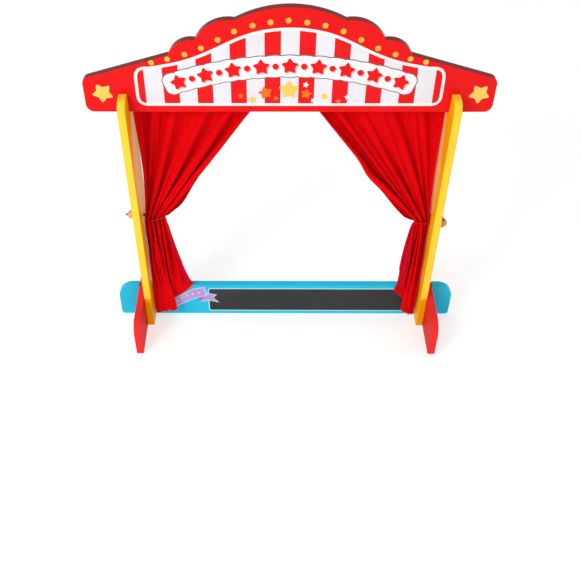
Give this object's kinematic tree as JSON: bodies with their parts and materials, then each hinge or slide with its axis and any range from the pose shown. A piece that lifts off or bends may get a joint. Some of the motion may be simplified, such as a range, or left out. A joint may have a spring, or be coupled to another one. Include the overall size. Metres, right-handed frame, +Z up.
{
  "type": "puppet theater stand",
  "caption": "Tabletop puppet theater: a lap-jointed frame of painted boards with a scalloped header, a chalkboard rail and curtains drawn back on elastic loops.",
  "frame": {"origin": "centre of the ground between the two feet, on the mid-plane of the header board and the rail", "axes": "+Z up, +X to the audience's right along the boards, +Y from the audience towards the puppeteer; the printed faces look along -Y"},
  "size_m": [0.602, 0.214, 0.5912],
  "materials": {
    "red_lacquer": "gloss lacquer on fibreboard, printed on the header's face",
    "yellow_lacquer": "gloss lacquer on fibreboard",
    "blue_lacquer": "gloss lacquer on fibreboard, with a painted chalkboard panel",
    "bare_wood": "sanded beech",
    "red_cloth": "short-pile velour",
    "red_elastic": "woven elastic cord",
    "zinc_steel": "zinc plated"
  },
  "bodies": {
    "frame": {"stage_rail": "blue_lacquer", "left_upright": "yellow_lacquer", "right_upright": "yellow_lacquer", "left_foot": "red_lacquer", "right_foot": "red_lacquer", "left_foot_screw_front": "zinc_steel", "left_foot_screw_rear": "zinc_steel", "right_foot_screw_front": "zinc_steel", "right_foot_screw_rear": "zinc_steel", "left_tieback_cord": "red_elastic", "right_tieback_cord": "red_elastic"},
    "header": {"header_board": "red_lacquer"},
    "rod": {"curtain_rod": "bare_wood"},
    "left_drape": {"left_curtain": "red_cloth"},
    "right_drape": {"right_curtain": "red_cloth"},
    "left_bead": {"left_tieback_bead": "bare_wood"},
    "right_bead": {"right_tieback_bead": "bare_wood"}
  },
  "joints": [
    {"name": "header_lift", "type": "slide", "parent": "frame", "child": "header", "axis": [0, 0, 1], "range_m": [0, 0.035]},
    {"name": "curtain_rod_turn", "type": "hinge", "parent": "frame", "child": "rod", "pos_m": [0, 0.0219, 0.441], "axis": [1, 0, 0], "continuous": true},
    {"name": "left_curtain_slide", "type": "slide", "parent": "frame", "child": "left_drape", "axis": [1, 0, 0], "range_m": [0, 0.034], "stiffness_N_per_m": 15, "deforming": ["left_tieback_cord"]},
    {"name": "right_curtain_slide", "type": "slide", "parent": "frame", "child": "right_drape", "axis": [-1, 0, 0], "range_m": [0, 0.034], "stiffness_N_per_m": 15, "deforming": ["right_tieback_cord"]},
    {"name": "left_bead_pull", "type": "slide", "parent": "frame", "child": "left_bead", "axis": [-1, 0, 0], "range_m": [0, 0.015], "stiffness_N_per_m": 150, "deforming": ["left_tieback_cord"]},
    {"name": "right_bead_pull", "type": "slide", "parent": "frame", "child": "right_bead", "axis": [1, 0, 0], "range_m": [0, 0.015], "stiffness_N_per_m": 150, "deforming": ["right_tieback_cord"]}
  ]
}
